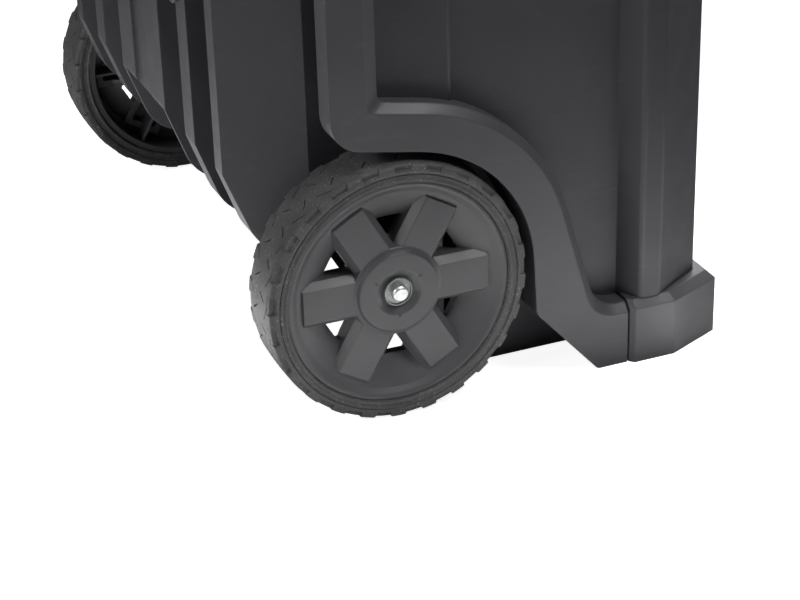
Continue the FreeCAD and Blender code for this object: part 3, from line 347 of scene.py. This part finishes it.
# --- Axle, caps and spacers -----------------------------------------------------------------------
# A plain zinc-plated rod runs through the tub. Pressed caps of duller steel hold the wheels on its
# ends, and nylon bushes space the hubs from the tub.
def finished_metal(name, colour, roughness):
    """Plated or anodised metal, with fine drawn lines and cloudy patches in its finish."""
    material, nodes, links, shader, place = new_material(name)
    shader.inputs["Metallic"].default_value = 1.0
    cloud = texture(nodes, links, place, "Noise", scale=120.0, detail=4.0, roughness=0.6)
    clouding = ramp(nodes, links, cloud, (0.35, 0.7), (0.0, 1.0))
    clouded_colour = [0.7 * channel for channel in colour]
    links.new(blend(nodes, links, clouding, colour, clouded_colour), shader.inputs["Base Color"])
    gloss = ramp(nodes, links, cloud, (0.3, 0.7), (roughness, roughness + 0.15))
    links.new(gloss, shader.inputs["Roughness"])
    drawn = texture(nodes, links, place, "Noise", scale=2200.0)
    add_bump(nodes, links, shader, drawn, strength=0.25, distance=0.00003)
    return material


zinc = finished_metal("zinc_plate", (0.86, 0.87, 0.86), 0.36)
cap_steel = finished_metal("dull_cap_steel", (0.30, 0.31, 0.31), 0.42)
bush_nylon = grained_plastic("black_nylon", (0.028, 0.028, 0.030), 0.42, grain_size=0.0012,
                             grain_height=0.00003, scuff=0.10)
finish_node("axle", zinc, 0.0006)
for side in ("left", "right"):
    finish_node("axle_cap_" + side, cap_steel, 0.0003)
    finish_node("axle_spacer_" + side, bush_nylon)


# --- Lid ------------------------------------------------------------------------------------------
# The lid is moulded in the tub's plastic, with a rubber seal under it, and turns on two steel pins.
# At the front, a hasp of steel with a black coating takes a padlock.
seal_rubber = grained_plastic("seal_rubber", (0.020, 0.020, 0.021), 0.65, grain_size=0.0008,
                              grain_height=0.00004, scuff=0.05)
coated_steel = grained_plastic("black_coated_steel", (0.022, 0.022, 0.023), 0.34, grain_size=0.0014,
                               grain_height=0.00003, scuff=0.12)
finish_node("lid_shell", tub_plastic, moulded_edge)
finish_node("lid_seal", seal_rubber)
for node in ("lid_hasp", "tub_hasp"):
    finish_node(node, coated_steel, 0.0004)
for side in ("left", "right"):
    finish_node("hinge_pin_" + side, zinc)


# --- Latches --------------------------------------------------------------------------------------
# Glass-filled nylon levers on steel pins. They hang from the lid's front edge and hook under coated
# steel strikes on the rim.
latch_nylon = grained_plastic("latch_nylon", (0.030, 0.030, 0.032), 0.38, grain_size=0.0012,
                              grain_height=0.00004, scuff=0.20)
for side in ("left", "right"):
    finish_node("latch_" + side, latch_nylon, 0.0006)
    finish_node("latch_pin_" + side, zinc)
    finish_node("strike_" + side, coated_steel, 0.0003)


# --- Carry handles --------------------------------------------------------------------------------
# Moulded bails in the latches' nylon. They hang on steel pins from brackets that are screwed to the
# end panels.
for side in ("left", "right"):
    finish_node("carry_handle_" + side, latch_nylon)
    finish_node("carry_brackets_" + side, latch_nylon, 0.0004)
    finish_node("carry_pins_" + side, zinc)
    finish_node("carry_screws_" + side, zinc, 0.0004)


# --- Pull handle ----------------------------------------------------------------------------------
# Anodised aluminium tubes, one inside the other, run in the back grooves between a collar and shoes.
# A moulded grip joins the inner tubes, with a release button in its middle.
tube_metal = finished_metal("anodised_tube", (0.42, 0.42, 0.44), 0.34)
button_plastic = grained_plastic("button_plastic", (0.060, 0.060, 0.064), 0.30, grain_size=0.0012,
                                 grain_height=0.00002, scuff=0.10)
for side in ("left", "right"):
    for tube in ("outer_tube_", "middle_tube_", "inner_tube_"):
        finish_node(tube + side, tube_metal)
    finish_node("tube_bush_" + side, bush_nylon, 0.0004)
finish_node("handle_collar", latch_nylon, 0.0008)
finish_node("handle_shoes", latch_nylon, 0.0008)
finish_node("handle_screws", zinc, 0.0004)
finish_node("pull_grip", latch_nylon, moulded_edge)
finish_node("release_button", button_plastic, 0.0006)


# --- Studio ---------------------------------------------------------------------------------------
# A matt white table, which camera rays see a little brighter. Strips of light lie on it at the left and
# the back, so the walls are brightest near the table. Small lights at the upper left and the rear left
# pick out the chamfers, and soft ones light the right side, the back and the lid.
def table_material(name, tone, lift):
    """Matt white with a faint speckle; rays from the camera see it brighter by the lift."""
    material, nodes, links, shader, place = new_material(name)
    shader.inputs["Roughness"].default_value = 0.9
    shader.inputs["Specular IOR Level"].default_value = 0.0
    speckle = texture(nodes, links, place, "Noise", scale=3.0, detail=3.0)
    shade = ramp(nodes, links, speckle, (0.3, 0.7), (tone - 0.01, tone))
    grey = nodes.new("ShaderNodeCombineColor")
    for channel in ("Red", "Green", "Blue"):
        links.new(shade, grey.inputs[channel])
    links.new(grey.outputs["Color"], shader.inputs["Base Color"])
    shader.inputs["Emission Color"].default_value = (1.0, 1.0, 1.0, 1.0)
    seen = nodes.new("ShaderNodeLightPath").outputs["Is Camera Ray"]
    links.new(ramp(nodes, links, seen, (0.0, 1.0), (0.0, lift)), shader.inputs["Emission Strength"])
    return material


reach = 12.0
floor_corners = [(-reach, -reach, 0), (reach, -reach, 0), (reach, reach, 0), (-reach, reach, 0)]
floor_mesh = bpy.data.meshes.new("studio_floor")
floor_mesh.from_pydata(floor_corners, [], [(0, 1, 2, 3)])
floor = bpy.data.objects.new("studio_floor", floor_mesh)
bpy.context.scene.collection.objects.link(floor)
floor_mesh.materials.append(table_material("studio_floor", tone=0.80, lift=0.91))


def soft_light(name, place, aim, size, power, spread=180.0):
    """A rectangular light that the camera doesn't see, turned towards a point; its spread in degrees."""
    lamp = bpy.data.lights.new(name, "AREA")
    lamp.shape = "RECTANGLE"
    lamp.size, lamp.size_y = size
    lamp.energy = power
    lamp.spread = math.radians(spread)
    holder = bpy.data.objects.new(name, lamp)
    holder.location = place
    holder.rotation_mode = "QUATERNION"
    holder.rotation_quaternion = (Vector(aim) - Vector(place)).to_track_quat("-Z", "Y")
    holder.visible_camera = False
    bpy.context.scene.collection.objects.link(holder)


strip_height = 0.004
for name, x, y, size, power in (("left_strip", -0.42, 0.05, (0.22, 0.55), 0.40),
                                ("foot_strip", -0.40, -0.27, (0.20, 0.26), 0.20),
                                ("back_strip", 0.12, 0.36, (0.30, 0.26), 0.38),
                                ("rib_strip", -0.10, 0.28, (0.26, 0.12), 0.58)):
    soft_light(name, (x, y, strip_height), (x, y, 1.0), size, power)
soft_light("upper_left_light", (-0.915, -0.445, 1.35), (-0.27, 0.05, 0.15), (0.5, 0.5), 1.1, spread=50.0)
soft_light("rear_left_light", (-0.71, 1.17, 0.40), (-0.28, 0.086, 0.10), (0.4, 0.4), 0.35, spread=60.0)
soft_light("right_light", (2.0, -2.0, 0.9), (0.1, -0.1, 0.2), (1.8, 1.2), 42.0)
soft_light("back_light", (-0.3, 2.0, 1.5), (0.0, 0.16, 0.75), (0.8, 0.5), 3.0, spread=40.0)
soft_light("lid_light", (0.0, -0.4, 1.7), (0.0, 0.0, 0.6), (0.4, 0.3), 4.0, spread=40.0)
soft_light("overhead_light", (-0.6, 0.6, 2.6), (-0.2, 0.2, 0.0), (1.2, 1.2), 1.5)

# The sky is white to the camera, dim in reflections and dark otherwise.
sky_dark, sky_reflected = 0.01, 0.10
world = bpy.data.worlds.new("even_sky")
world.use_nodes = True
sky, sky_links = world.node_tree.nodes, world.node_tree.links
path = sky.new("ShaderNodeLightPath")
reflected = ramp(sky, sky_links, path.outputs["Is Glossy Ray"], (0.0, 1.0), (sky_dark, sky_reflected))
brightest = combine(sky, sky_links, "MAXIMUM", path.outputs["Is Camera Ray"], reflected)
sky["Background"].inputs["Color"].default_value = (1.0, 1.0, 1.0, 1.0)
sky_links.new(brightest, sky["Background"].inputs["Strength"])
bpy.context.scene.world = world
bpy.context.scene.view_settings.view_transform = "Standard"

# The camera stands off the left rear corner, higher than the lid, and looks down at the near wheel.
camera_place = (-1.613, 0.624, 0.824)
look = Vector((0.827, -0.334, -0.452)).normalized()
roll = math.radians(-1.74)
level = look.cross(Vector((0, 0, 1))).normalized()
upright = level.cross(look)
camera_x = level * math.cos(roll) + upright * math.sin(roll)
camera_y = upright * math.cos(roll) - level * math.sin(roll)
lens = bpy.data.cameras.new("studio_camera")
lens.sensor_width = 36.0
lens.lens = 99.6
camera = bpy.data.objects.new("studio_camera", lens)
turned = Matrix((camera_x, camera_y, -look)).transposed().to_4x4()
camera.matrix_world = Matrix.Translation(camera_place) @ turned
bpy.context.scene.collection.objects.link(camera)
bpy.context.scene.camera = camera
